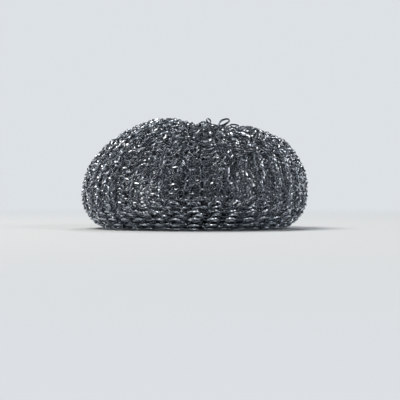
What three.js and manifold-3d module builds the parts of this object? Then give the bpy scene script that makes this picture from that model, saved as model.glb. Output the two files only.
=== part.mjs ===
// A knitted steel scourer: a sleeve knitted from flat steel ribbon and turned in on itself into a
// round cushion, gathered to a dimple at the top and to a shallower one underneath.
// It is one piece. The outer turn of the sleeve is a knitted wall with ridges and open stitches,
// and the turns rolled up inside it are solid.
// Millimetres, +Z up, -Y to the front. The origin is on the table, under the middle of the cushion.

import * as THREE from "three";
import { mergeVertices } from "three/addons/utils/BufferGeometryUtils.js";
import Module from "manifold-3d";

// The cushion, measured on the middle of the knitted relief.
const BELLY_DIAMETER = 90; // widest, front to back
const BELLY_HEIGHT = 14; // height of the widest part above the table
const CUSHION_HEIGHT = 43.4; // table to the rim of the top dimple
const RIM_DIAMETER = 26; // crest of the rim around the top dimple
const DIMPLE_DEPTH = 12; // rim to the bottom of the top dimple
const FOOT_DIAMETER = 64; // flat ring that rests on the table, outside
const UNDER_DIMPLE_DIAMETER = 26; // inside of that ring, where the underside is gathered
const UNDER_DIMPLE_DEPTH = 5;

// How the soft cushion departs from a round one.
const SIDE_BULGE = 1.1; // extra width to each side, which makes the outline a little oval
const LEAN = 1.3; // how much higher the rim is on the left, and lower on the right
const SLUMP = 2.2; // how far the top has sunk over to the right
const FOLDS = 7; // gathers round the top dimple
const FOLD_DEPTH = 1.3;
const FRONT_FOLD_DEPTH = 3.2; // the one deep gather, at the front
const FRONT_FOLD_WIDTH = 2.6;
const FRONT_FOLD_OFFSET = 2.2; // to the left of the middle
const DIP_DEPTH = 1.2; // the shallow dip of the rim, on the right
const DIP_WIDTH = 5;
const DIP_OFFSET = -14; // to the left of the middle, so less than nothing

// The knit: wales run over the cushion from dimple to dimple, and courses run round it.
const WALES = 36;
const WALE_RELIEF = 2; // crest to valley
const COURSE_RELIEF = 1.4;
const CHEVRON = 2; // how far each stitch dips along its wale
const RELIEF_RUN = 6; // distance over which the relief fades out at the foot and in the dimples

// The outer turn of the sleeve, and the space between it and the turns inside.
const TURN_THICKNESS = 3;
const TURN_SPACE = 2.4;
const TURN_SEAM = 5; // width of the closed band where the turn joins the foot and the rim

// Open stitches through the outer turn, in the pits between the ridges.
const EYE_WIDTH = 4.4; // round the cushion
const EYE_LENGTH = 4.6; // along the wale
const EYE_MARGIN = 7; // least distance from the foot and from the crest of the rim
const EYE_ROWS = 2; // rows of the knit from one row of open stitches to the next, an even number
const EYE_WALES = 3; // wales from one open stitch to the next in a row

// Loose loops of ribbon that stand up by the top dimple.
const RIBBON_WIDTH = 0.8;
const RIBBON_THICKNESS = 0.5;
const RIBBON_ROOT = 2; // how deep each loop's ends are caught in the knit
const LOOP_SHOULDER = { height: 0.6, lean: 0.7 }; // where a loop starts to turn over, as shares of its own
const LOOPS = [
  { angle: 0.26, outside: 0.5, span: 2, height: 3.3, lean: 0.3, turn: 0.5 },
  { angle: 0.6, outside: 1, span: 1.6, height: 3.9, lean: 4, turn: 0.2 },
  { angle: 1, outside: 3.5, span: 3.6, height: 2.2, lean: 0.2, turn: 0.2 },
];

// How finely the surfaces are divided.
const ROWS = { underside: 3, foot: 1, skirt: 6, crown: 14, dimple: 5 };
const SPACE_ROWS = 6;
const SPACE_SIDES = 40;
const LOOP_STEPS = 12;
const TOP_STEPS = 60; // points at which the height of the top is looked up
const WELD = 1e-4;

const STEEL = new THREE.MeshStandardMaterial({ color: 0x5c646b, roughness: 0.35, metalness: 1 });

const bellyRadius = BELLY_DIAMETER / 2;
const rimRadius = RIM_DIAMETER / 2;
const footRadius = FOOT_DIAMETER / 2;
const underRadius = UNDER_DIMPLE_DIAMETER / 2;
const dimpleFloor = CUSHION_HEIGHT - DIMPLE_DEPTH;

const wasm = await Module();
wasm.setup();

// A closed three.js geometry as a solid that can be joined and cut.
function solidOf(geometry) {
  geometry.deleteAttribute("normal");
  geometry.deleteAttribute("uv");
  const welded = mergeVertices(geometry, WELD);
  const corners = welded.index.array;
  const triangles = [];
  for (let i = 0; i < corners.length; i += 3) {
    const [a, b, c] = corners.slice(i, i + 3);
    if (a !== b && b !== c && a !== c) triangles.push(a, b, c);
  }
  return new wasm.Manifold(
    new wasm.Mesh({
      numProp: 3,
      vertProperties: new Float32Array(welded.attributes.position.array),
      triVerts: new Uint32Array(triangles),
    }),
  );
}

function geometryOf(solid) {
  const { vertProperties, triVerts } = solid.getMesh();
  return new THREE.BufferGeometry()
    .setAttribute("position", new THREE.BufferAttribute(vertProperties, 3))
    .setIndex(new THREE.BufferAttribute(triVerts, 1));
}

// The cushion's section as curves of (radius, height), from the middle of the underside, round the
// outside, to the middle of the top dimple.
const underside = new THREE.CubicBezierCurve(
  new THREE.Vector2(0, UNDER_DIMPLE_DEPTH),
  new THREE.Vector2(underRadius / 2, UNDER_DIMPLE_DEPTH),
  new THREE.Vector2(underRadius / 2, 0),
  new THREE.Vector2(underRadius, 0),
);
const foot = new THREE.LineCurve(new THREE.Vector2(underRadius, 0), new THREE.Vector2(footRadius, 0));
const skirt = new THREE.EllipseCurve(
  footRadius,
  BELLY_HEIGHT,
  bellyRadius - footRadius,
  BELLY_HEIGHT,
  -Math.PI / 2,
  0,
);
const crown = new THREE.EllipseCurve(
  rimRadius,
  BELLY_HEIGHT,
  bellyRadius - rimRadius,
  CUSHION_HEIGHT - BELLY_HEIGHT,
  0,
  Math.PI / 2,
);
const dimple = new THREE.CubicBezierCurve(
  new THREE.Vector2(rimRadius, CUSHION_HEIGHT),
  new THREE.Vector2(rimRadius / 2, CUSHION_HEIGHT),
  new THREE.Vector2(rimRadius / 2, dimpleFloor),
  new THREE.Vector2(0, dimpleFloor),
);

// The outer turn's own stretch of the section, from the foot to the rim.
const turn = new THREE.CurvePath();
turn.add(skirt);
turn.add(crown);
const turnLength = turn.getLength();

// The point on the outer turn at a distance along it, with its directions: along the wale, and out.
function onTurn(distance) {
  const share = THREE.MathUtils.clamp(distance / turnLength, 0, 1);
  const along = turn.getTangentAt(share);
  return { point: turn.getPointAt(share), along, out: new THREE.Vector2(along.y, -along.x) };
}

// The distance along the outer turn of a row of the knit, counted from the foot.
function rowDistance(row) {
  const skirtShare = Math.min(row / ROWS.skirt, 1);
  const crownShare = Math.max((row - ROWS.skirt) / ROWS.crown, 0);
  return skirtShare * skirt.getLength() + crownShare * crown.getLength();
}

// Wales stand up and dip by turns round the cushion, and so do courses by turns along the section.
const crestOrValley = (count) => (count % 2 ? -1 : 1);

// How much of the knitted relief shows at a point of the section: none at the foot or deep in a dimple.
function reliefAt({ x: radius, y: height }) {
  const aboveTable = THREE.MathUtils.smoothstep(height, 0, RELIEF_RUN);
  const outsideGather = THREE.MathUtils.smoothstep(radius, 0, rimRadius);
  return aboveTable * outsideGather;
}

// The whole cushion, with wales as ridges and courses as chevrons across them.
function knittedCushion() {
  const section = [
    ...underside.getSpacedPoints(ROWS.underside).slice(0, -1),
    ...foot.getSpacedPoints(ROWS.foot).slice(0, -1),
    ...skirt.getSpacedPoints(ROWS.skirt).slice(0, -1),
    ...crown.getSpacedPoints(ROWS.crown).slice(0, -1),
    ...dimple.getSpacedPoints(ROWS.dimple),
  ];
  section[0].x = 0;
  section.at(-1).x = 0;
  const sides = 2 * WALES;
  const geometry = new THREE.LatheGeometry(section, sides);
  const { position, normal } = geometry.attributes;
  const place = new THREE.Vector3();
  const out = new THREE.Vector3();
  const round = new THREE.Vector3();
  for (let k = 0; k < position.count; k += 1) {
    const row = k % section.length;
    const side = Math.floor(k / section.length) % sides;
    const crest = crestOrValley(side);
    const course = crestOrValley(row - ROWS.underside - ROWS.foot);
    const angle = (side / sides) * 2 * Math.PI;
    const relief = reliefAt(section[row]);
    place.fromBufferAttribute(position, k);
    out.fromBufferAttribute(normal, k);
    round.set(Math.cos(angle), 0, -Math.sin(angle));
    const along = new THREE.Vector3().crossVectors(round, out);
    place.addScaledVector(out, (relief * (crest * WALE_RELIEF + course * COURSE_RELIEF)) / 2);
    place.addScaledVector(along, (relief * crest * CHEVRON) / 2);
    position.setXYZ(k, place.x, place.y, place.z);
  }
  return solidOf(geometry.rotateX(Math.PI / 2));
}

// The space between the outer turn and the turns inside, as a ring that closes on itself.
function spaceBehindTurn() {
  const outer = [];
  const inner = [];
  for (let i = 0; i <= SPACE_ROWS; i += 1) {
    const distance = TURN_SEAM + ((turnLength - 2 * TURN_SEAM) * i) / SPACE_ROWS;
    const { point, out } = onTurn(distance);
    outer.push(point.clone().addScaledVector(out, -TURN_THICKNESS));
    inner.push(point.clone().addScaledVector(out, -TURN_THICKNESS - TURN_SPACE));
  }
  const ring = [...outer, ...inner.reverse(), outer[0].clone()];
  return solidOf(new THREE.LatheGeometry(ring, SPACE_SIDES).rotateX(Math.PI / 2));
}

// One open stitch, as the plug that is cut out of the outer turn.
function stitchEye(angle, distance) {
  const reach = TURN_THICKNESS + TURN_SPACE / 2;
  const proud = WALE_RELIEF + COURSE_RELIEF;
  const outline = new THREE.Shape()
    .moveTo(EYE_WIDTH / 2, 0)
    .lineTo(0, EYE_LENGTH / 2)
    .lineTo(-EYE_WIDTH / 2, 0)
    .lineTo(0, -EYE_LENGTH / 2)
    .closePath();
  const plug = new THREE.ExtrudeGeometry(outline, { depth: reach + proud, bevelEnabled: false });
  plug.translate(0, 0, -reach);
  const { point, along, out } = onTurn(distance);
  const outward = new THREE.Vector3(Math.sin(angle), -Math.cos(angle), 0);
  const up = new THREE.Vector3(0, 0, 1);
  const inPlace = new THREE.Matrix4().makeBasis(
    new THREE.Vector3(Math.cos(angle), Math.sin(angle), 0),
    outward.clone().multiplyScalar(along.x).addScaledVector(up, along.y),
    outward.clone().multiplyScalar(out.x).addScaledVector(up, out.y),
  );
  inPlace.setPosition(outward.clone().multiplyScalar(point.x).addScaledVector(up, point.y));
  return solidOf(plug.applyMatrix4(inPlace));
}

// Every open stitch, where a valley between wales meets a low course, staggered from row to row.
function stitchEyes() {
  const eyes = [];
  for (let row = EYE_ROWS - 1; row < ROWS.skirt + ROWS.crown; row += EYE_ROWS) {
    const distance = rowDistance(row) + CHEVRON / 2;
    if (distance < EYE_MARGIN || distance > turnLength - EYE_MARGIN) continue;
    const stagger = ((row + 1) / EYE_ROWS) % EYE_WALES;
    for (let wale = stagger; wale < WALES; wale += EYE_WALES) {
      eyes.push(stitchEye(((wale + 0.5) / WALES) * 2 * Math.PI, distance));
    }
  }
  return eyes;
}

// The height of the cushion's top at a radius, inside or outside the rim.
function topAt(radius) {
  const curve = radius < rimRadius ? dimple : crown;
  const points = curve.getSpacedPoints(TOP_STEPS);
  const nearest = points.reduce((a, b) => (Math.abs(a.x - radius) < Math.abs(b.x - radius) ? a : b));
  return nearest.y;
}

// One loose loop of ribbon, rooted in the knit at both ends.
function looseLoop({ angle, outside, span, height, lean, turn: heading }) {
  const radius = rimRadius + outside;
  const base = topAt(radius);
  const across = new THREE.Vector3(Math.cos(heading), Math.sin(heading), 0);
  const at = (sideways, up, drift) =>
    new THREE.Vector3(radius * Math.sin(angle) + drift, -radius * Math.cos(angle), base + up)
      .addScaledVector(across, sideways);
  const route = new THREE.CatmullRomCurve3([
    at(-span / 2, -RIBBON_ROOT, 0),
    at(-span / 2, 0, 0),
    at(-span / 2, height * LOOP_SHOULDER.height, lean * LOOP_SHOULDER.lean),
    at(0, height, lean),
    at(span / 2, height * LOOP_SHOULDER.height, lean * LOOP_SHOULDER.lean),
    at(span / 2, 0, 0),
    at(span / 2, -RIBBON_ROOT, 0),
  ]);
  const section = new THREE.Shape()
    .moveTo(-RIBBON_THICKNESS / 2, -RIBBON_WIDTH / 2)
    .lineTo(RIBBON_THICKNESS / 2, -RIBBON_WIDTH / 2)
    .lineTo(RIBBON_THICKNESS / 2, RIBBON_WIDTH / 2)
    .lineTo(-RIBBON_THICKNESS / 2, RIBBON_WIDTH / 2)
    .closePath();
  return solidOf(new THREE.ExtrudeGeometry(section, { steps: LOOP_STEPS, extrudePath: route }));
}

// A point of the round cushion as it lies in the soft one: oval, with a gathered and uneven rim.
function soften(place) {
  const radius = Math.hypot(place.x, place.y);
  const angle = Math.atan2(place.x, -place.y);
  const high = THREE.MathUtils.smoothstep(place.z, BELLY_HEIGHT, CUSHION_HEIGHT);
  const outOfDimple = THREE.MathUtils.smoothstep(radius, 0, rimRadius);
  const inFromBelly = 1 - THREE.MathUtils.smoothstep(radius, rimRadius, bellyRadius);
  const nearRim = high * outOfDimple * inFromBelly;
  const toFrontFold = (place.x + FRONT_FOLD_OFFSET) / FRONT_FOLD_WIDTH;
  const front = place.y < 0 ? Math.exp(-toFrontFold * toFrontFold) : 0;
  const toDip = (place.x + DIP_OFFSET) / DIP_WIDTH;
  place.z -= nearRim * FOLD_DEPTH * (0.5 - 0.5 * Math.cos(FOLDS * angle));
  place.z -= nearRim * FRONT_FOLD_DEPTH * front;
  place.z -= nearRim * DIP_DEPTH * Math.exp(-toDip * toDip);
  place.z -= nearRim * LEAN * Math.sin(angle);
  place.x *= 1 + SIDE_BULGE / bellyRadius;
  place.x += SLUMP * high;
  return place;
}

function softened(geometry) {
  const { position } = geometry.attributes;
  const place = new THREE.Vector3();
  for (let k = 0; k < position.count; k += 1) {
    soften(place.fromBufferAttribute(position, k));
    position.setXYZ(k, place.x, place.y, place.z);
  }
  geometry.computeVertexNormals();
  return geometry;
}

const openKnit = stitchEyes().reduce(
  (solid, eye) => solid.subtract(eye),
  knittedCushion().subtract(spaceBehindTurn()),
);
const wholeKnit = LOOPS.map(looseLoop).reduce((solid, loop) => solid.add(loop), openKnit);

const mesh = new THREE.Mesh(softened(geometryOf(wholeKnit)), STEEL);
mesh.name = "knitted_mesh";

const scourer = new THREE.Group();
scourer.add(mesh);

export default scourer;
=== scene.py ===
"""Looks of a knitted steel scourer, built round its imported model.

The cushion is one sleeve, knitted from flat steel ribbon and turned in on itself. One stitch is modelled,
repeated by arrays into a flat sheet for each turn of the sleeve, and the sheet is wrapped round the
cushion's section. The ribbon of a turn is one continuous piece, from stitch to stitch and course to course.
"""

import logging
import math
from abc import ABC, abstractmethod
from dataclasses import dataclass, field
from enum import Enum
from typing import Any

import bpy
import numpy as np
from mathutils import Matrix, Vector, noise

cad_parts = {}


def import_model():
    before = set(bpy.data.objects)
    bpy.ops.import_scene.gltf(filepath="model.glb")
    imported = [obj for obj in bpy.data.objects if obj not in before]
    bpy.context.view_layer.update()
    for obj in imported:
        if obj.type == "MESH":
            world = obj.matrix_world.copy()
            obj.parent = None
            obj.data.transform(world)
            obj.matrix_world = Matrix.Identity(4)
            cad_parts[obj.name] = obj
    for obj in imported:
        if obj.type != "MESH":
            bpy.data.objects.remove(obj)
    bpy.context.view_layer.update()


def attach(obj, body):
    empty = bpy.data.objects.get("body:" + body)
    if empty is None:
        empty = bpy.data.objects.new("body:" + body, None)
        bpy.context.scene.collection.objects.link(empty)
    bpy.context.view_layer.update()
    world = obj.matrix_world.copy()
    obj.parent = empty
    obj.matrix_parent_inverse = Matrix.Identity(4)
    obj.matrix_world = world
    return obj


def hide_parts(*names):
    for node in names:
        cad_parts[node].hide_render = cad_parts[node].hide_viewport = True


LOG = logging.getLogger("scourer")
MM = 0.001
NODE = "knitted_mesh"
BODY = "root"
BAKE_MAP = "OFBake"
ACROSS = "across_face"
RENDER_PIXELS = 400
WANDER_SEED = 3
FACE_CORNERS = 4
RIBBON_SIDES = 4

Colour = tuple[float, float, float]
Span = tuple[float, float]


def activate(obj: bpy.types.Object) -> None:
    """Makes an object the only selected one, and the active one.

    Args:
        obj: The object that the next operators act on.
    """
    bpy.ops.object.select_all(action="DESELECT")
    obj.select_set(True)
    bpy.context.view_layer.objects.active = obj


def apply_modifier(obj: bpy.types.Object, kind: str, **settings: Any) -> None:
    """Adds a modifier with its settings and applies it.

    Args:
        obj: The object to modify.
        kind: The modifier's type, such as ARRAY.
        **settings: The modifier's own properties.
    """
    activate(obj)
    modifier = obj.modifiers.new(kind.lower(), kind)
    for name, value in settings.items():
        setattr(modifier, name, value)
    bpy.ops.object.modifier_apply(modifier=modifier.name)


def points_of(obj: bpy.types.Object) -> np.ndarray:
    """Reads a mesh's vertices.

    Args:
        obj: A mesh object.

    Returns:
        The vertices' places, one row each.
    """
    flat = np.empty(3 * len(obj.data.vertices))
    obj.data.vertices.foreach_get("co", flat)
    return flat.reshape(-1, 3)


def place_points(obj: bpy.types.Object, points: np.ndarray) -> None:
    """Moves a mesh's vertices.

    Args:
        obj: A mesh object.
        points: The vertices' new places, one row each.
    """
    obj.data.vertices.foreach_set("co", points.ravel())
    obj.data.update()


def smoothstep(value: np.ndarray, low: float, high: float) -> np.ndarray:
    """Rises smoothly from 0 at low to 1 at high."""
    share = np.clip((value - low) / (high - low), 0, 1)
    return share * share * (3 - 2 * share)


def unit(vectors: np.ndarray) -> np.ndarray:
    """Scales vectors, one row each, to a length of 1."""
    return vectors / np.linalg.norm(vectors, axis=1, keepdims=True)


def drift(points: np.ndarray, wavelength: float, seed: float) -> np.ndarray:
    """A smooth, repeatable wander, as far as each point is moved along the three axes.

    Args:
        points: Places, one row each.
        wavelength: The distance over which the wander changes its way.
        seed: Tells one wander from another.

    Returns:
        A move for each point, from about -1 to 1 along each axis.
    """
    scaled = points / wavelength + seed
    return np.array([noise.noise_vector(Vector(place)) for place in scaled])


def fit_map(obj: bpy.types.Object, cells: tuple[int, int], column: int = 0) -> None:
    """Shrinks a strip's map into one cell of the whole map.

    Args:
        obj: The strip.
        cells: How many cells the whole map has along and across.
        column: The strip's own cell in the first row.
    """
    layer = obj.data.uv_layers[BAKE_MAP]
    places = np.empty(2 * len(layer.uv), dtype=np.float32)
    layer.uv.foreach_get("vector", places)
    layer.uv.foreach_set("vector", ((places.reshape(-1, 2) + [column, 0]) / cells).ravel())


def close_and_smooth(obj: bpy.types.Object, weld: float, sharp_angle: float) -> None:
    """Welds a ribbon's stitches, caps its open ends, and shades it smooth along its length.

    Args:
        obj: The ribbon.
        weld: Vertices closer than this are merged.
        sharp_angle: Edges that turn by more than this stay sharp.
    """
    activate(obj)
    bpy.ops.object.mode_set(mode="EDIT")
    bpy.ops.mesh.select_all(action="SELECT")
    bpy.ops.mesh.remove_doubles(threshold=weld)
    bpy.ops.mesh.select_all(action="DESELECT")
    bpy.ops.mesh.select_mode(type="EDGE")
    bpy.ops.mesh.select_non_manifold()
    bpy.ops.mesh.fill_holes(sides=0)
    bpy.ops.mesh.select_all(action="SELECT")
    bpy.ops.mesh.normals_make_consistent(inside=False)
    bpy.ops.object.mode_set(mode="OBJECT")
    bpy.ops.object.shade_smooth_by_angle(angle=sharp_angle)


def ramp(tree: bpy.types.NodeTree, value: bpy.types.NodeSocket, span: Span) -> bpy.types.NodeSocket:
    """Adds a smooth rise from 0 to 1.

    Args:
        tree: The material's or the world's nodes.
        value: What the rise follows.
        span: The values at its start and its end.

    Returns:
        The rise.
    """
    rise = tree.nodes.new("ShaderNodeMapRange")
    rise.interpolation_type = "SMOOTHSTEP"
    rise.inputs["From Min"].default_value = span[0]
    rise.inputs["From Max"].default_value = span[1]
    tree.links.new(value, rise.inputs["Value"])
    return rise.outputs["Result"]


def seen(tree: bpy.types.NodeTree) -> bpy.types.NodeSocket:
    """Adds what tells a ray that shows the backdrop from one that carries light.

    Args:
        tree: The material's or the world's nodes.

    Returns:
        A socket that is 1 on camera, glossy and transmission rays, and 0 on others.
    """
    path = tree.nodes.new("ShaderNodeLightPath")
    found = path.outputs["Is Camera Ray"]
    for name in ("Is Glossy Ray", "Is Transmission Ray"):
        both = tree.nodes.new("ShaderNodeMath")
        both.operation = "MAXIMUM"
        tree.links.new(found, both.inputs[0])
        tree.links.new(path.outputs[name], both.inputs[1])
        found = both.outputs["Value"]
    return found


@dataclass(frozen=True)
class Ribbon:
    """The flat steel ribbon that the sleeve is knitted from."""

    width: float = 0.6 * MM
    thickness: float = 0.09 * MM
    weld: float = 0.001 * MM
    sharp_angle: float = math.radians(50)

    def strip(self, name: str, segments: int) -> bpy.types.Object:
        """Adds a strip of closed ribbon, still a flat grid of its length by the way round its section.

        Args:
            name: The new object's name.
            segments: Steps along the strip.

        Returns:
            A grid with x from 0 to 1 along the strip and y from 0 to 1 round its section. Its corners hold
            the way across each of the section's four faces, from 0 to 1.
        """
        bpy.ops.object.select_all(action="DESELECT")
        bpy.ops.mesh.primitive_grid_add(
            x_subdivisions=segments, y_subdivisions=RIBBON_SIDES, size=1, location=(0.5, 0.5, 0)
        )
        grid = bpy.context.object
        bpy.ops.object.transform_apply(location=True)
        grid.name = name
        grid.data.name = name
        grid.data.uv_layers.active.name = BAKE_MAP
        corners = np.empty(len(grid.data.loops), dtype=np.int32)
        grid.data.loops.foreach_get("vertex_index", corners)
        around = points_of(grid)[corners, 1].reshape(-1, FACE_CORNERS)
        across = grid.data.attributes.new(ACROSS, "FLOAT", "CORNER")
        across.data.foreach_set("value", (around > around.mean(axis=1, keepdims=True)).astype(float).ravel())
        return grid

    def lay(
        self, grid: np.ndarray, segments: int, line: np.ndarray, wide: np.ndarray, thin: np.ndarray
    ) -> np.ndarray:
        """Lays strips along their lines.

        Args:
            grid: The vertices of one strip's grid.
            segments: Steps along one strip.
            line: The middle line of strip after strip, one row for each step.
            wide: The direction across the ribbon's width at each of those rows.
            thin: The direction through its thickness there.

        Returns:
            The vertices of all strips, in the order in which an array repeats them.
        """
        step = np.rint(segments * grid[:, 0]).astype(int)
        corner = np.rint(RIBBON_SIDES * grid[:, 1]).astype(int) % RIBBON_SIDES
        strips = len(line) // (segments + 1)
        rows = (np.arange(strips)[:, None] * (segments + 1) + step).ravel()
        across = np.tile(np.array([-0.5, 0.5, 0.5, -0.5])[corner] * self.width, strips)
        through = np.tile(np.array([-0.5, -0.5, 0.5, 0.5])[corner] * self.thickness, strips)
        return line[rows] + across[:, None] * wide[rows] + through[:, None] * thin[rows]


@dataclass(frozen=True)
class Stitch:
    """One plain stitch, laid flat: a loop of ribbon on edge, open between its feet.

    Attributes:
        overhang: How far the loop swells out sideways over its own feet.
        depth: How far its head and feet stand out of the cloth, and its legs lie in it.
        head_tilt: How far the ribbon leans at the head of a slack stitch.
        tight_head_tilt: The same at the head of a tight one.
        leg_tilt: The same along the legs of a slack stitch.
        foot_tilt: The same at the feet.
    """

    width: float = 7.8 * MM
    course_pitch: float = 3.5 * MM
    loop_height: float = 6.2 * MM
    overhang: float = 1.4 * MM
    depth: float = 0.4 * MM
    head_tilt: float = math.radians(30)
    tight_head_tilt: float = math.radians(60)
    leg_tilt: float = math.radians(45)
    foot_tilt: float = math.radians(-8)

    def path(self, share: np.ndarray) -> np.ndarray:
        """The ribbon's middle line through the stitch.

        Args:
            share: The way along the stitch, from 0 to 1.

        Returns:
            Places along the course, along the wale and out of the cloth, one row each.
        """
        turn = 2 * math.pi * share
        along_course = self.width * share + self.overhang * np.sin(2 * turn)
        along_wale = self.loop_height / 2 * np.cos(turn)
        outward = self.depth * np.cos(2 * turn)
        return np.stack([along_course, along_wale, outward], axis=1)

    def lean(self, share: np.ndarray, slack: np.ndarray) -> np.ndarray:
        """How far the ribbon leans out of standing on its edge, along the stitch.

        Args:
            share: The way along the stitch, from 0 to 1.
            slack: How loose the cloth is there, up to 1.

        Returns:
            Angles about the ribbon's own length.
        """
        turn = 2 * math.pi * share
        head_tilt = self.tight_head_tilt + (self.head_tilt - self.tight_head_tilt) * slack
        ends = (head_tilt + self.foot_tilt) / 2
        leg = 0.5 - 0.5 * np.cos(2 * turn)
        return ends + (head_tilt - ends) * np.cos(turn) + (slack * self.leg_tilt - ends) * leg


@dataclass(frozen=True)
class Cushion:
    """The form of the cushion: its section, and how soft it lies.

    Attributes:
        gather_radius: The narrowest that the sleeve is drawn together.
        core_radius: Where the section of every inner turn shrinks to, from the middle of the cushion.
        core_height: The height of that place.
        side_bulge: Extra width to each side, which makes the cushion a little oval.
        lean: How much higher the rim is on the left, and lower on the right.
        slump: How far the top has sunk over to the right.
        front_fold_depth: How deep the one great gather is, at the front.
        front_fold_offset: How far left of the middle that gather is.
        dip_depth: How deep the shallow dip of the rim is, on the right.
        dip_offset: How far left of the middle that dip is, so it is negative.
        press: The height over which the lowest ribbon is pressed flat.
        clearance: The least height of a ribbon's middle line.
    """

    belly_radius: float = 45.3 * MM
    belly_height: float = 14 * MM
    height: float = 43.8 * MM
    rim_radius: float = 13 * MM
    dimple_depth: float = 12 * MM
    foot_radius: float = 32 * MM
    under_radius: float = 13 * MM
    under_depth: float = 5 * MM
    gather_radius: float = 3.5 * MM
    core_radius: float = 24 * MM
    core_height: float = 21 * MM
    side_bulge: float = 1.1 * MM
    lean: float = 1.3 * MM
    slump: float = 2.2 * MM
    folds: int = 7
    fold_depth: float = 1.3 * MM
    front_fold_depth: float = 3.2 * MM
    front_fold_width: float = 2.6 * MM
    front_fold_offset: float = 2.2 * MM
    dip_depth: float = 1.2 * MM
    dip_width: float = 5 * MM
    dip_offset: float = -14 * MM
    press: float = 1.0 * MM
    clearance: float = 0.4 * MM
    curve_steps: int = 60

    def bezier(self, ends: tuple[Span, Span], middle: float) -> np.ndarray:
        """A curve between two heights that leaves both ends level.

        Args:
            ends: The two end points, as radius and height.
            middle: The radius of both its handles.

        Returns:
            Points along it, as radius and height.
        """
        (r0, z0), (r1, z1) = ends
        t = np.linspace(0, 1, self.curve_steps)[:, None]
        handles = np.array([[r0, z0], [middle, z0], [middle, z1], [r1, z1]])
        weights = np.hstack([(1 - t) ** 3, 3 * t * (1 - t) ** 2, 3 * t * t * (1 - t), t**3])
        return weights @ handles

    def quarter(self, inner: float, start: float, end: float, drop: float) -> np.ndarray:
        """A quarter of an ellipse round the belly.

        Args:
            inner: The radius at which the ellipse is centred.
            start: The angle it starts at.
            end: The angle it ends at.
            drop: The ellipse's half height.

        Returns:
            Points along it, as radius and height.
        """
        angle = np.linspace(start, end, self.curve_steps)
        radius = inner + (self.belly_radius - inner) * np.cos(angle)
        return np.stack([radius, self.belly_height + drop * np.sin(angle)], axis=1)

    def section(self) -> np.ndarray:
        """The outer turn's closed section: out along the underside, up, over the rim and down the throat.

        Returns:
            Points as radius and height. The last one is the first again.
        """
        floor = self.height - self.dimple_depth
        underside = self.bezier(((0, self.under_depth), (self.under_radius, 0)), self.under_radius / 2)
        skirt = self.quarter(self.foot_radius, -math.pi / 2, 0, self.belly_height)
        crown = self.quarter(self.rim_radius, 0, math.pi / 2, self.height - self.belly_height)
        dimple = self.bezier(((self.rim_radius, self.height), (0, floor)), self.rim_radius / 2)
        points = np.vstack([underside, skirt, crown, dimple, underside[:1]])
        points[:, 0] = np.maximum(points[:, 0], self.gather_radius)
        return points

    def soften(self, points: np.ndarray) -> np.ndarray:
        """Lays a round cushion down as the soft one lies: oval, with a gathered and uneven rim.

        Args:
            points: Places on the round cushion, one row each.

        Returns:
            Their places on the soft one.
        """
        x, y, z = points.T
        radius = np.hypot(x, y)
        angle = np.arctan2(x, -y)
        high = smoothstep(z, self.belly_height, self.height)
        out_of_dimple = smoothstep(radius, 0, self.rim_radius)
        in_from_belly = 1 - smoothstep(radius, self.rim_radius, self.belly_radius)
        near_rim = high * out_of_dimple * in_from_belly
        to_fold = (x + self.front_fold_offset) / self.front_fold_width
        front = np.where(y < 0, np.exp(-to_fold * to_fold), 0)
        to_dip = (x + self.dip_offset) / self.dip_width
        gathers = self.fold_depth * (0.5 - 0.5 * np.cos(self.folds * angle))
        dips = self.front_fold_depth * front + self.dip_depth * np.exp(-to_dip * to_dip)
        lowered = gathers + dips + self.lean * np.sin(angle)
        widened = x * (1 + self.side_bulge / self.belly_radius) + self.slump * high
        return np.stack([widened, y, z - near_rim * lowered], axis=1)

    def settle(self, points: np.ndarray) -> np.ndarray:
        """Presses what would sink into the table flat against it.

        Args:
            points: Places on ribbons' middle lines, one row each.

        Returns:
            The same places, none of them closer to the table than the clearance.
        """
        settled = points.copy()
        low = points[:, 2] < self.clearance + self.press
        above = (points[low, 2] - self.clearance) / self.press
        settled[low, 2] = self.clearance + self.press * np.exp(above - 1)
        return settled


class Ends(Enum):
    """How a turn of the sleeve ends."""

    TUCKED = "tucked"
    JOINED = "joined"


class SteelPiece(ABC):
    """A piece of the cushion, made of steel ribbon."""

    @abstractmethod
    def build(self) -> bpy.types.Object:
        """Models the piece."""

    def dress(self, piece: bpy.types.Object, steel: bpy.types.Material) -> None:
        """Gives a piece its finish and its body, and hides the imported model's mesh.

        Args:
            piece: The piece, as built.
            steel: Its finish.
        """
        piece.data.materials.clear()
        piece.data.materials.append(steel)
        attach(piece, BODY)
        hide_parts(NODE)


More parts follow.
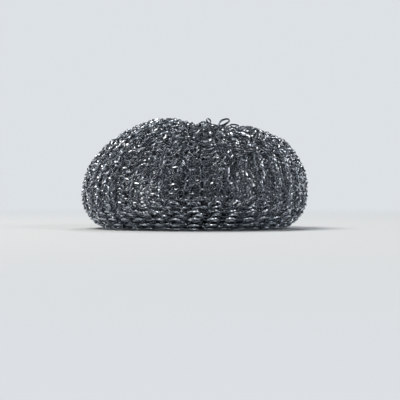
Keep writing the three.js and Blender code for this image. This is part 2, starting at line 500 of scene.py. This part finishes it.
@dataclass
class KnittedTurn(SteelPiece):
    """One turn of the sleeve, from the middle of the underside over the rim and into the throat.

    Attributes:
        share: The size of its section as a share of the outer turn's.
        ends: Whether its ends are tucked into the throat or joined there.
        segments: Steps of the ribbon along one stitch.
        spin: How far it is turned about the upright.
        crumple: How far the cloth wanders.
        kink: How far the ribbon wanders in it.
        twist: How far the ribbon turns about its own length.
        tightest: The least share of these wanders, where the cloth is pulled tight.
        slack_heights: The heights over which the cloth grows slack.
        tuck: How far a tucked end reaches into the throat.
        wales: Stitches once round.
        swell: How much further stitches stand out where they are crowded at the gathers.
        probe: The share of a stitch over which the ribbon's direction is measured.
    """

    name: str
    share: float
    ends: Ends
    segments: int
    spin: float
    crumple: float
    crumple_length: float = 11 * MM
    crumple_seed: float = 3.7
    kink: float = 0.45 * MM
    kink_length: float = 3.0 * MM
    kink_seed: float = 9.1
    twist: float = math.radians(100)
    twist_length: float = 3.0 * MM
    twist_seed: float = 5.3
    tightest: float = 0.35
    slack_heights: Span = (4 * MM, 32 * MM)
    tuck: float = 6 * MM
    wales: int = 36
    swell: float = 0.3
    probe: float = 0.01
    cushion: Cushion = field(default_factory=Cushion)
    stitch: Stitch = field(default_factory=Stitch)
    ribbon: Ribbon = field(default_factory=Ribbon)

    def __post_init__(self) -> None:
        """Lays out the turn's own section, and the courses that fill it."""
        core = np.array([self.cushion.core_radius, self.cushion.core_height])
        self.section = core + self.share * (self.cushion.section() - core)
        steps = np.linalg.norm(np.diff(self.section, axis=0), axis=1)
        self.distance = np.concatenate([[0], np.cumsum(steps)])
        self.perimeter = self.distance[-1]
        throat = steps[-1]
        joined = self.ends is Ends.JOINED
        self.start = 0 if joined else -self.tuck
        self.length = self.perimeter if joined else self.perimeter - throat + 2 * self.tuck
        self.courses = round(self.length / self.stitch.course_pitch)
        self.pitch = self.length / self.courses

    def section_at(self, distance: np.ndarray) -> np.ndarray:
        """Looks the turn's section up.

        Args:
            distance: Distances along the section, which may run past its end.

        Returns:
            Points as radius and height, one row each.
        """
        axes = [np.interp(distance, self.distance, axis, period=self.perimeter) for axis in self.section.T]
        return np.stack(axes, axis=1)

    def outward_at(self, distance: np.ndarray) -> np.ndarray:
        """The direction out of the cloth, measured over one course.

        Args:
            distance: Distances along the section.

        Returns:
            Unit vectors as radius and height, one row each.
        """
        reach = self.stitch.course_pitch / 2
        heading = self.section_at(distance + reach) - self.section_at(distance - reach)
        return unit(np.stack([heading[:, 1], -heading[:, 0]], axis=1))

    def wrap(self, sheet: np.ndarray) -> np.ndarray:
        """Wraps the flat sheet round the cushion.

        Args:
            sheet: Places on the flat sheet: along the course, along the wale and out of the cloth.

        Returns:
            Their places on the cushion.
        """
        share = sheet[:, 0] / (self.wales * self.stitch.width)
        distance = self.start + sheet[:, 1] + share * self.pitch
        point = self.section_at(distance)
        out = self.outward_at(distance)
        crowded = 1 - np.clip(point[:, 0] / self.cushion.belly_radius, 0, 1)
        height = sheet[:, 2] * (1 + self.swell * crowded)
        radius = point[:, 0] + height * out[:, 0]
        angle = 2 * math.pi * share + self.spin
        level = point[:, 1] + height * out[:, 1]
        places = np.stack([radius * np.sin(angle), -radius * np.cos(angle), level], axis=1)
        loose = self.looseness(places)
        for amount, length, seed in (
            (self.crumple, self.crumple_length, self.crumple_seed),
            (self.kink, self.kink_length, self.kink_seed),
        ):
            places = places + amount * loose * drift(places, length, seed + self.share)
        return self.cushion.settle(self.cushion.soften(places))

    def looseness(self, places: np.ndarray) -> np.ndarray:
        """How free the ribbon is to wander: the cloth is pulled tight round the skirt.

        Args:
            places: Places on the cushion, one row each.

        Returns:
            A share for each place, up to 1.
        """
        high = smoothstep(places[:, 2:], *self.slack_heights)
        return self.tightest + (1 - self.tightest) * high

    def sheet(self, share: np.ndarray) -> np.ndarray:
        """The ribbon's middle line on the flat sheet, stitch by stitch and course by course.

        Args:
            share: The steps along each stitch, from 0 to 1.

        Returns:
            Places along the course, along the wale and out of the cloth, one row each.
        """
        wale, course = np.meshgrid(np.arange(self.wales), np.arange(self.courses))
        corner = np.stack([wale * self.stitch.width, course * self.pitch, 0 * wale], axis=-1)
        return (corner.reshape(-1, 1, 3) + self.stitch.path(share)).reshape(-1, 3)

    def shape(self, grid: np.ndarray) -> np.ndarray:
        """Wraps the ribbon round the cushion, on its edge but for its tilt and its twists.

        Args:
            grid: The vertices of one stitch's strip.

        Returns:
            The vertices of the whole turn.
        """
        share = np.linspace(0, 1, self.segments + 1)
        flat = self.sheet(share)
        line = self.wrap(flat)
        heading = unit(self.wrap(self.sheet(share + self.probe)) - self.wrap(self.sheet(share - self.probe)))
        lifted = self.wrap(flat + np.array([0, 0, self.ribbon.width])) - line
        side = unit(np.cross(heading, lifted))
        upright = np.cross(side, heading)
        slack = self.looseness(line)
        twist = self.twist * slack * drift(line, self.twist_length, self.twist_seed + self.share)[:, :1]
        twist += self.stitch.lean(np.tile(share, len(line) // len(share))[:, None], slack)
        wide = np.cos(twist) * upright + np.sin(twist) * side
        thin = np.cos(twist) * side - np.sin(twist) * upright
        places = self.ribbon.lay(grid, self.segments, line, wide, thin)
        places[:, 2] = np.maximum(places[:, 2], 0)
        return places

    def build(self) -> bpy.types.Object:
        """Knits the turn: a strip for one stitch, repeated along and from course to course, then shaped.

        Returns:
            The finished turn.
        """
        piece = self.ribbon.strip(self.name, self.segments)
        grid = points_of(piece)
        fit_map(piece, (self.wales, self.courses))
        for count, step, shift in (
            (self.wales, (1, 0, 0), {"offset_u": 1 / self.wales}),
            (self.courses, (0, 1, 0), {"offset_v": 1 / self.courses}),
        ):
            apply_modifier(
                piece,
                "ARRAY",
                count=count,
                use_relative_offset=False,
                use_constant_offset=True,
                constant_offset_displace=step,
                **shift,
            )
        place_points(piece, self.shape(grid))
        close_and_smooth(piece, self.ribbon.weld, self.ribbon.sharp_angle)
        return piece


@dataclass(frozen=True)
class Loop:
    """One loose ring of ribbon that stands out of the knit by the dimple.

    Attributes:
        angle: The angle at which it stands round the dimple, from the front to the right.
        radius: How far it stands from the middle of the cushion.
        length: Its long way.
        width: Its short way.
        slope: The angle by which its long way rises to the right.
        rise: How far its middle is above the rim.
        turn: The angle by which it is turned about the upright.
        recline: The angle by which it leans back.
    """

    angle: float
    radius: float
    length: float
    width: float
    slope: float
    rise: float
    turn: float
    recline: float

    def route(self, share: np.ndarray, rim: float) -> np.ndarray:
        """The loop's middle line, once round.

        Args:
            share: The way round it, from 0 to 1.
            rim: The height of the rim.

        Returns:
            Places, one row each.
        """
        way = 2 * math.pi * share
        along = -self.length / 2 * np.cos(way)
        across = self.width / 2 * np.sin(way)
        sideways = along * math.cos(self.slope) - across * math.sin(self.slope)
        upwards = along * math.sin(self.slope) + across * math.cos(self.slope)
        backwards = upwards * math.sin(self.recline)
        right = sideways * math.cos(self.turn) - backwards * math.sin(self.turn)
        away = sideways * math.sin(self.turn) + backwards * math.cos(self.turn)
        x = self.radius * math.sin(self.angle) + right
        y = -self.radius * math.cos(self.angle) + away
        z = rim + self.rise + upwards * math.cos(self.recline)
        return np.stack([x, y, z], axis=1)

    def axle(self) -> np.ndarray:
        """The direction straight through the ring, along which its ribbon is wide."""
        level = math.cos(self.recline) * np.array([-math.sin(self.turn), math.cos(self.turn)])
        return np.append(level, -math.sin(self.recline))


@dataclass
class LooseLoops(SteelPiece):
    """The few loops of ribbon that have worked loose at the top.

    Attributes:
        map_cells: How many cells the map has along and across, of which each loop takes one.
        probe: The share of a loop over which the ribbon's direction is measured.
    """

    name: str = "loose_loops"
    segments: int = 40
    map_cells: tuple[int, int] = (36, 36)
    probe: float = 1e-3
    loops: tuple[Loop, ...] = (
        Loop(
            angle=0.26, radius=13.5 * MM, length=2.1 * MM, width=1.7 * MM,
            slope=0.31, rise=1.5 * MM, turn=0.66, recline=0.26,
        ),
        Loop(
            angle=0.77, radius=14.0 * MM, length=4.7 * MM, width=3.4 * MM,
            slope=0.84, rise=1.7 * MM, turn=-0.71, recline=0.85,
        ),
        Loop(
            angle=1.00, radius=16.5 * MM, length=3.5 * MM, width=2.1 * MM,
            slope=0.0, rise=0.7 * MM, turn=0.0, recline=0.7,
        ),
    )
    cushion: Cushion = field(default_factory=Cushion)
    ribbon: Ribbon = Ribbon(width=0.9 * MM)

    def build_loop(self, number: int, loop: Loop) -> bpy.types.Object:
        """Models one loop.

        Args:
            number: Its place among the loops.
            loop: Its sizes.

        Returns:
            The finished loop.
        """
        strip = self.ribbon.strip(f"{self.name}_{number}", self.segments)
        fit_map(strip, self.map_cells, number)
        share = np.linspace(0, 1, self.segments + 1)
        rim = self.cushion.height
        line = self.cushion.soften(loop.route(share, rim))
        heading = unit(loop.route(share + self.probe, rim) - loop.route(share - self.probe, rim))
        wide = np.tile(loop.axle(), (len(heading), 1))
        thin = np.cross(heading, wide)
        place_points(strip, self.ribbon.lay(points_of(strip), self.segments, line, wide, thin))
        close_and_smooth(strip, self.ribbon.weld, self.ribbon.sharp_angle)
        return strip

    def build(self) -> bpy.types.Object:
        """Models every loop, and joins them into one piece.

        Returns:
            The finished loops.
        """
        strips = [self.build_loop(number, loop) for number, loop in enumerate(self.loops)]
        activate(strips[0])
        for strip in strips:
            strip.select_set(True)
        bpy.ops.object.join()
        piece = bpy.context.object
        piece.name = self.name
        piece.data.name = self.name
        return piece


@dataclass(frozen=True)
class SteelFinish:
    """Dark, bright-drawn steel ribbon.

    Attributes:
        tone_size: The distance over which the tone changes.
        tone_band: The part of the noise that is spread from the dark tone to the light one.
        streaks: How many drawn streaks the map has along and across.
        crown: How high each face of the ribbon is crowned in the middle.
    """

    name: str = "drawn_steel_ribbon"
    dark: Colour = (0.066, 0.077, 0.094)
    light: Colour = (0.62, 0.66, 0.715)
    smoothest: float = 0.08
    roughest: float = 0.22
    tone_size: float = 1.6 * MM
    tone_detail: float = 3.0
    tone_band: Span = (0.3, 0.7)
    streaks: tuple[float, float] = (160.0, 1100.0)
    streak_height: float = 0.01 * MM
    crown: float = 0.035 * MM

    def tone(self, tree: bpy.types.NodeTree) -> bpy.types.NodeSocket:
        """Adds the steel's tone, which wanders from place to place.

        Args:
            tree: The material's nodes.

        Returns:
            The colour.
        """
        place = tree.nodes.new("ShaderNodeTexCoord")
        cloud = tree.nodes.new("ShaderNodeTexNoise")
        cloud.inputs["Scale"].default_value = 1 / self.tone_size
        cloud.inputs["Detail"].default_value = self.tone_detail
        tree.links.new(place.outputs["Object"], cloud.inputs["Vector"])
        contrast = tree.nodes.new("ShaderNodeMapRange")
        contrast.inputs["From Min"].default_value = self.tone_band[0]
        contrast.inputs["From Max"].default_value = self.tone_band[1]
        tree.links.new(cloud.outputs["Fac"], contrast.inputs["Value"])
        colour = tree.nodes.new("ShaderNodeMix")
        colour.data_type = "RGBA"
        colour.inputs["A"].default_value = (*self.dark, 1)
        colour.inputs["B"].default_value = (*self.light, 1)
        tree.links.new(contrast.outputs["Result"], colour.inputs["Factor"])
        return colour.outputs["Result"]

    def streak(self, tree: bpy.types.NodeTree) -> bpy.types.NodeSocket:
        """Adds the fine streaks that drawing leaves along the ribbon.

        Args:
            tree: The material's nodes.

        Returns:
            A value from 0 to 1.
        """
        unrolled = tree.nodes.new("ShaderNodeUVMap")
        unrolled.uv_map = BAKE_MAP
        stretch = tree.nodes.new("ShaderNodeMapping")
        stretch.inputs["Scale"].default_value = (*self.streaks, 1)
        tree.links.new(unrolled.outputs["UV"], stretch.inputs["Vector"])
        grain = tree.nodes.new("ShaderNodeTexNoise")
        grain.inputs["Scale"].default_value = 1
        tree.links.new(stretch.outputs["Vector"], grain.inputs["Vector"])
        return grain.outputs["Fac"]

    def roughness(self, tree: bpy.types.NodeTree, streak: bpy.types.NodeSocket) -> bpy.types.NodeSocket:
        """Adds the roughness, which follows the streaks.

        Args:
            tree: The material's nodes.
            streak: The streaks.

        Returns:
            The roughness.
        """
        rough = tree.nodes.new("ShaderNodeMapRange")
        rough.inputs["To Min"].default_value = self.smoothest
        rough.inputs["To Max"].default_value = self.roughest
        tree.links.new(streak, rough.inputs["Value"])
        return rough.outputs["Result"]

    def relief(self, tree: bpy.types.NodeTree, streak: bpy.types.NodeSocket) -> bpy.types.NodeSocket:
        """Adds the relief: the streaks, and a crown across each face of the ribbon.

        Args:
            tree: The material's nodes.
            streak: The streaks.

        Returns:
            The normal.
        """
        streaked = tree.nodes.new("ShaderNodeBump")
        streaked.inputs["Distance"].default_value = self.streak_height
        tree.links.new(streak, streaked.inputs["Height"])
        across = tree.nodes.new("ShaderNodeAttribute")
        across.attribute_name = ACROSS
        back = tree.nodes.new("ShaderNodeMath")
        back.operation = "SUBTRACT"
        back.inputs[0].default_value = 1
        tree.links.new(across.outputs["Fac"], back.inputs[1])
        arch = tree.nodes.new("ShaderNodeMath")
        arch.operation = "MULTIPLY"
        tree.links.new(across.outputs["Fac"], arch.inputs[0])
        tree.links.new(back.outputs["Value"], arch.inputs[1])
        crowned = tree.nodes.new("ShaderNodeBump")
        # The arch is a quarter high in the middle of the face.
        crowned.inputs["Distance"].default_value = 4 * self.crown
        tree.links.new(arch.outputs["Value"], crowned.inputs["Height"])
        tree.links.new(streaked.outputs["Normal"], crowned.inputs["Normal"])
        return crowned.outputs["Normal"]

    def build(self) -> bpy.types.Material:
        """Builds the material.

        Returns:
            The finished steel.
        """
        material = bpy.data.materials.new(self.name)
        material.use_nodes = True
        tree = material.node_tree
        shader = tree.nodes["Principled BSDF"]
        shader.inputs["Metallic"].default_value = 1.0
        streak = self.streak(tree)
        tree.links.new(self.tone(tree), shader.inputs["Base Color"])
        tree.links.new(self.roughness(tree, streak), shader.inputs["Roughness"])
        tree.links.new(self.relief(tree, streak), shader.inputs["Normal"])
        return material


@dataclass(frozen=True)
class FloorFinish:
    """A pale, matt floor that fades into the backdrop's own tone far from the cushion.

    Attributes:
        pale: The tone of the floor and of the backdrop.
        fade: The distances over which the floor fades into the backdrop.
    """

    name: str = "pale_floor"
    pale: Colour = (0.72, 0.755, 0.79)
    roughness: float = 0.9
    gloss: float = 0.1
    fade: Span = (0.12, 0.6)

    def build(self) -> bpy.types.Material:
        """Builds the material.

        Returns:
            The finished floor.
        """
        material = bpy.data.materials.new(self.name)
        material.use_nodes = True
        tree = material.node_tree
        shader = tree.nodes["Principled BSDF"]
        shader.inputs["Base Color"].default_value = (*self.pale, 1)
        shader.inputs["Roughness"].default_value = self.roughness
        shader.inputs["Specular IOR Level"].default_value = self.gloss
        place = tree.nodes.new("ShaderNodeTexCoord")
        length = tree.nodes.new("ShaderNodeVectorMath")
        length.operation = "LENGTH"
        tree.links.new(place.outputs["Object"], length.inputs[0])
        glow = tree.nodes.new("ShaderNodeEmission")
        glow.inputs["Color"].default_value = (*self.pale, 1)
        tree.links.new(seen(tree), glow.inputs["Strength"])
        blend = tree.nodes.new("ShaderNodeMixShader")
        tree.links.new(ramp(tree, length.outputs["Value"], self.fade), blend.inputs["Fac"])
        tree.links.new(shader.outputs["BSDF"], blend.inputs[1])
        tree.links.new(glow.outputs["Emission"], blend.inputs[2])
        tree.links.new(blend.outputs["Shader"], tree.nodes["Material Output"].inputs["Surface"])
        return material


@dataclass(frozen=True)
class Lamp:
    """One square studio lamp, turned to the cushion."""

    name: str
    place: tuple[float, float, float]
    size: float
    power: float
    tint: Colour = (1.0, 1.0, 1.0)

    def build(self) -> None:
        """Adds the lamp."""
        bpy.ops.object.light_add(type="AREA", location=self.place)
        lamp = bpy.context.object
        lamp.name = self.name
        lamp.data.energy = self.power
        lamp.data.color = self.tint
        lamp.data.size = self.size
        lamp.rotation_euler = Vector(self.place).to_track_quat("Z", "Y").to_euler()


@dataclass
class Studio:
    """A pale floor under soft light, and the camera.

    Attributes:
        overhead: The tone of the room overhead, which the steel reflects.
        overhead_from: How steeply one looks up where that tone begins, and where it is full.
        sky_light: The strength of the light that comes from the backdrop.
        frame_width: How much the picture shows at the cushion.
        photo_middle: The pixel of the photograph at which the middle of the cushion lies.
        cushion_middle: The height of that middle.
    """

    finish: FloorFinish = FloorFinish()
    floor_radius: float = 4.0
    floor_sides: int = 96
    overhead: Colour = (0.14, 0.147, 0.155)
    overhead_from: Span = (0.12, 0.6)
    sky_light: float = 0.45
    lamps: tuple[Lamp, ...] = (
        Lamp("key_lamp", place=(-0.45, -0.10, 1.05), size=0.6, power=10.0, tint=(1.0, 0.95, 0.88)),
        Lamp("fill_lamp", place=(0.75, -0.60, 0.60), size=0.35, power=2.0),
        Lamp("back_lamp", place=(0.15, 0.60, 0.90), size=0.30, power=3.0),
        Lamp("front_lamp", place=(0.10, -1.00, 0.10), size=0.25, power=1.8),
    )
    elevation: float = math.radians(0.5)
    distance: float = 0.6
    sensor_width: float = 36.0
    frame_width: float = 166 * MM
    photo_middle: tuple[float, float] = (194.5, 175.5)
    cushion_middle: float = 22 * MM

    def build_floor(self) -> None:
        """Adds the floor."""
        bpy.ops.object.select_all(action="DESELECT")
        bpy.ops.mesh.primitive_circle_add(
            vertices=self.floor_sides, radius=self.floor_radius, fill_type="NGON"
        )
        floor = bpy.context.object
        floor.name = "floor"
        floor.data.materials.append(self.finish.build())

    def build_world(self) -> None:
        """Adds the world, pale round the horizon and darker overhead."""
        world = bpy.data.worlds.new("pale_studio")
        bpy.context.scene.world = world
        world.use_nodes = True
        tree = world.node_tree
        background = tree.nodes["Background"]
        place = tree.nodes.new("ShaderNodeTexCoord")
        axes = tree.nodes.new("ShaderNodeSeparateXYZ")
        tree.links.new(place.outputs["Generated"], axes.inputs["Vector"])
        colour = tree.nodes.new("ShaderNodeMix")
        colour.data_type = "RGBA"
        colour.inputs["A"].default_value = (*self.finish.pale, 1)
        colour.inputs["B"].default_value = (*self.overhead, 1)
        above = ramp(tree, axes.outputs["Z"], self.overhead_from)
        tree.links.new(above, colour.inputs["Factor"])
        tree.links.new(colour.outputs["Result"], background.inputs["Color"])
        strength = tree.nodes.new("ShaderNodeMapRange")
        strength.inputs["To Min"].default_value = self.sky_light
        strength.inputs["To Max"].default_value = 1
        tree.links.new(seen(tree), strength.inputs["Value"])
        tree.links.new(strength.outputs["Result"], background.inputs["Strength"])

    def build_camera(self) -> None:
        """Adds the camera at the photograph's viewing angle and distance."""
        pixel = self.frame_width / RENDER_PIXELS
        across = (RENDER_PIXELS / 2 - self.photo_middle[0]) * pixel
        up = (self.photo_middle[1] - RENDER_PIXELS / 2) * pixel
        back = Vector((0, -math.cos(self.elevation), math.sin(self.elevation)))
        rise = Vector((0, math.sin(self.elevation), math.cos(self.elevation)))
        aim = Vector((across, 0, self.cushion_middle)) + up * rise
        bpy.ops.object.camera_add(location=aim + self.distance * back)
        camera = bpy.context.object
        camera.name = "camera"
        camera.rotation_euler = back.to_track_quat("Z", "Y").to_euler()
        camera.data.sensor_width = self.sensor_width
        camera.data.lens = self.sensor_width * self.distance / self.frame_width
        bpy.context.scene.camera = camera

    def build(self) -> None:
        """Adds the floor, the light and the camera."""
        self.build_floor()
        self.build_world()
        for lamp in self.lamps:
            lamp.build()
        self.build_camera()


def main() -> None:
    """Builds the turns of the sleeve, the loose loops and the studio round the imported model."""
    logging.basicConfig(level=logging.INFO, format="%(message)s")
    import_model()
    noise.seed_set(WANDER_SEED)
    steel = SteelFinish().build()
    plans = (
        KnittedTurn("outer_turn", share=1.0, ends=Ends.TUCKED, segments=18, spin=0.0, crumple=0.9 * MM),
        KnittedTurn("second_turn", share=0.90, ends=Ends.JOINED, segments=13, spin=0.04, crumple=1.4 * MM),
        KnittedTurn("third_turn", share=0.78, ends=Ends.JOINED, segments=13, spin=0.08, crumple=1.8 * MM),
        KnittedTurn("fourth_turn", share=0.62, ends=Ends.JOINED, segments=13, spin=0.11, crumple=1.8 * MM),
        KnittedTurn("heart_turn", share=0.42, ends=Ends.JOINED, segments=13, spin=0.09, crumple=1.8 * MM),
        LooseLoops(),
    )
    for plan in plans:
        piece = plan.build()
        plan.dress(piece, steel)
        piece.data.calc_loop_triangles()
        LOG.info("%s: %d triangles", piece.name, len(piece.data.loop_triangles))
    Studio().build()
    bpy.context.scene.view_settings.view_transform = "Standard"


if __name__ == "__main__":
    main()
